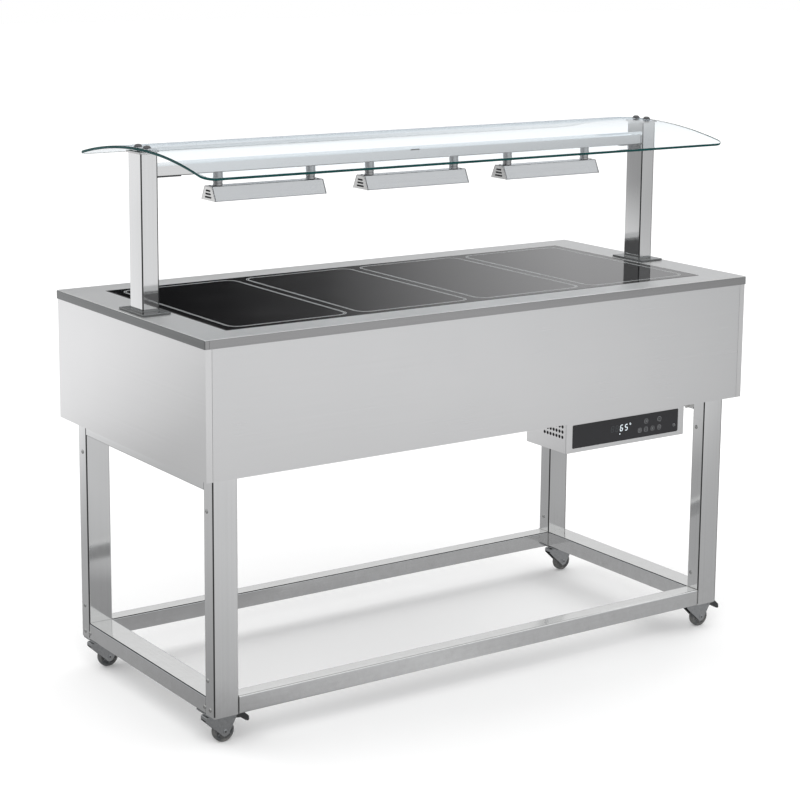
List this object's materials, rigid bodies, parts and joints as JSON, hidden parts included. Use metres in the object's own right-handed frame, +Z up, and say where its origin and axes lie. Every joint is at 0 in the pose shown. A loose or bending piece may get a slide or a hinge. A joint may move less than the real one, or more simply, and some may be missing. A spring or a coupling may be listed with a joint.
{
  "type": "induction hob",
  "caption": "Mobile hot buffet counter: glass-ceramic hob top in a steel body on a tube stand with castors, with a curved glass and heat lamps above.",
  "frame": {"origin": "on the floor under the middle of the worktop", "axes": "+Z up, X along the worktop's length, the control panel faces -Y"},
  "size_m": [1.511, 0.7, 1.2639],
  "materials": {
    "polished_steel": "mirror-polished stainless tube and caps",
    "satin_steel": "fine satin stainless sheet",
    "black_glass_ceramic": "opaque black glass-ceramic with thin light printed field lines",
    "silicone": "matt black silicone joint",
    "aluminium": "plain mill finish",
    "coil_winding": "flat copper litz winding, brass density stands for it",
    "clear_glass": "clear toughened glass with blue-green edges",
    "dark_chrome": "polished dome heads",
    "quartz_tube": "quartz heater tube",
    "black_gloss": "glossy black front foil",
    "circuit_board": "green board with components",
    "black_plastic": "black moulded plastic",
    "zinc": "bright zinc-plated pressed steel",
    "grey_rubber": "grey non-marking tread"
  },
  "bodies": {
    "root": {"left_end_frame": "polished_steel", "right_end_frame": "polished_steel", "front_lower_rail": "polished_steel", "rear_lower_rail": "polished_steel", "left_post": "polished_steel", "right_post": "polished_steel", "left_glass_cap": "polished_steel", "right_glass_cap": "polished_steel", "lamp_beam": "polished_steel", "front_skirt": "satin_steel", "rear_skirt": "satin_steel", "left_skirt": "satin_steel", "right_skirt": "satin_steel", "worktop": "satin_steel", "bottom_tray": "satin_steel", "control_box": "satin_steel", "control_front_panel": "satin_steel", "glass_ceramic_plate": "black_glass_ceramic", "plate_seal": "silicone", "coil_tray": "aluminium", "induction_coil_1": "coil_winding", "induction_coil_2": "coil_winding", "induction_coil_3": "coil_winding", "induction_coil_4": "coil_winding", "curved_glass": "clear_glass", "glass_screw_left_front": "dark_chrome", "glass_screw_left_rear": "dark_chrome", "glass_screw_right_front": "dark_chrome", "glass_screw_right_rear": "dark_chrome", "lamp_housing_1": "satin_steel", "lamp_heater_1": "quartz_tube", "lamp_standoff_1_left": "polished_steel", "lamp_standoff_1_right": "polished_steel", "lamp_housing_2": "satin_steel", "lamp_heater_2": "quartz_tube", "lamp_standoff_2_left": "polished_steel", "lamp_standoff_2_right": "polished_steel", "lamp_housing_3": "satin_steel", "lamp_heater_3": "quartz_tube", "lamp_standoff_3_left": "polished_steel", "lamp_standoff_3_right": "polished_steel", "touch_panel": "black_gloss", "power_board": "circuit_board", "fan_frame": "black_plastic", "cable_gland": "black_plastic", "castor_plate_front_left": "zinc", "castor_plate_front_right": "zinc", "castor_plate_rear_left": "zinc", "castor_plate_rear_right": "zinc"},
    "fork_front_left": {"castor_fork_front_left": "zinc"},
    "wheel_front_left": {"castor_wheel_front_left": "grey_rubber"},
    "fork_front_right": {"castor_fork_front_right": "zinc"},
    "wheel_front_right": {"castor_wheel_front_right": "grey_rubber"},
    "fork_rear_left": {"castor_fork_rear_left": "zinc"},
    "wheel_rear_left": {"castor_wheel_rear_left": "grey_rubber"},
    "fork_rear_right": {"castor_fork_rear_right": "zinc"},
    "wheel_rear_right": {"castor_wheel_rear_right": "grey_rubber"},
    "pedal_front_left": {"brake_pedal_front_left": "black_plastic"},
    "pedal_front_right": {"brake_pedal_front_right": "black_plastic"},
    "rotor": {"fan_rotor": "black_plastic"}
  },
  "joints": [
    {"name": "swivel_front_left", "type": "hinge", "parent": "root", "child": "fork_front_left", "pos_m": [-0.687, -0.275, 0.0655], "axis": [0, 0, 1], "continuous": true},
    {"name": "roll_front_left", "type": "hinge", "parent": "fork_front_left", "child": "wheel_front_left", "pos_m": [-0.673, -0.275, 0.025], "axis": [0, 1, 0], "continuous": true},
    {"name": "brake_front_left", "type": "hinge", "parent": "fork_front_left", "child": "pedal_front_left", "pos_m": [-0.649, -0.275, 0.0545], "axis": [0, 1, 0], "range_deg": [0, 14]},
    {"name": "swivel_front_right", "type": "hinge", "parent": "root", "child": "fork_front_right", "pos_m": [0.687, -0.275, 0.0655], "axis": [0, 0, 1], "continuous": true},
    {"name": "roll_front_right", "type": "hinge", "parent": "fork_front_right", "child": "wheel_front_right", "pos_m": [0.701, -0.275, 0.025], "axis": [0, 1, 0], "continuous": true},
    {"name": "brake_front_right", "type": "hinge", "parent": "fork_front_right", "child": "pedal_front_right", "pos_m": [0.725, -0.275, 0.0545], "axis": [0, 1, 0], "range_deg": [0, 14]},
    {"name": "swivel_rear_left", "type": "hinge", "parent": "root", "child": "fork_rear_left", "pos_m": [-0.687, 0.275, 0.0655], "axis": [0, 0, 1], "continuous": true},
    {"name": "roll_rear_left", "type": "hinge", "parent": "fork_rear_left", "child": "wheel_rear_left", "pos_m": [-0.673, 0.275, 0.025], "axis": [0, 1, 0], "continuous": true},
    {"name": "swivel_rear_right", "type": "hinge", "parent": "root", "child": "fork_rear_right", "pos_m": [0.687, 0.275, 0.0655], "axis": [0, 0, 1], "continuous": true},
    {"name": "roll_rear_right", "type": "hinge", "parent": "fork_rear_right", "child": "wheel_rear_right", "pos_m": [0.701, 0.275, 0.025], "axis": [0, 1, 0], "continuous": true},
    {"name": "fan_spin", "type": "hinge", "parent": "root", "child": "rotor", "pos_m": [0.53, -0.1793, 0.5625], "axis": [0, 1, 0], "continuous": true}
  ]
}
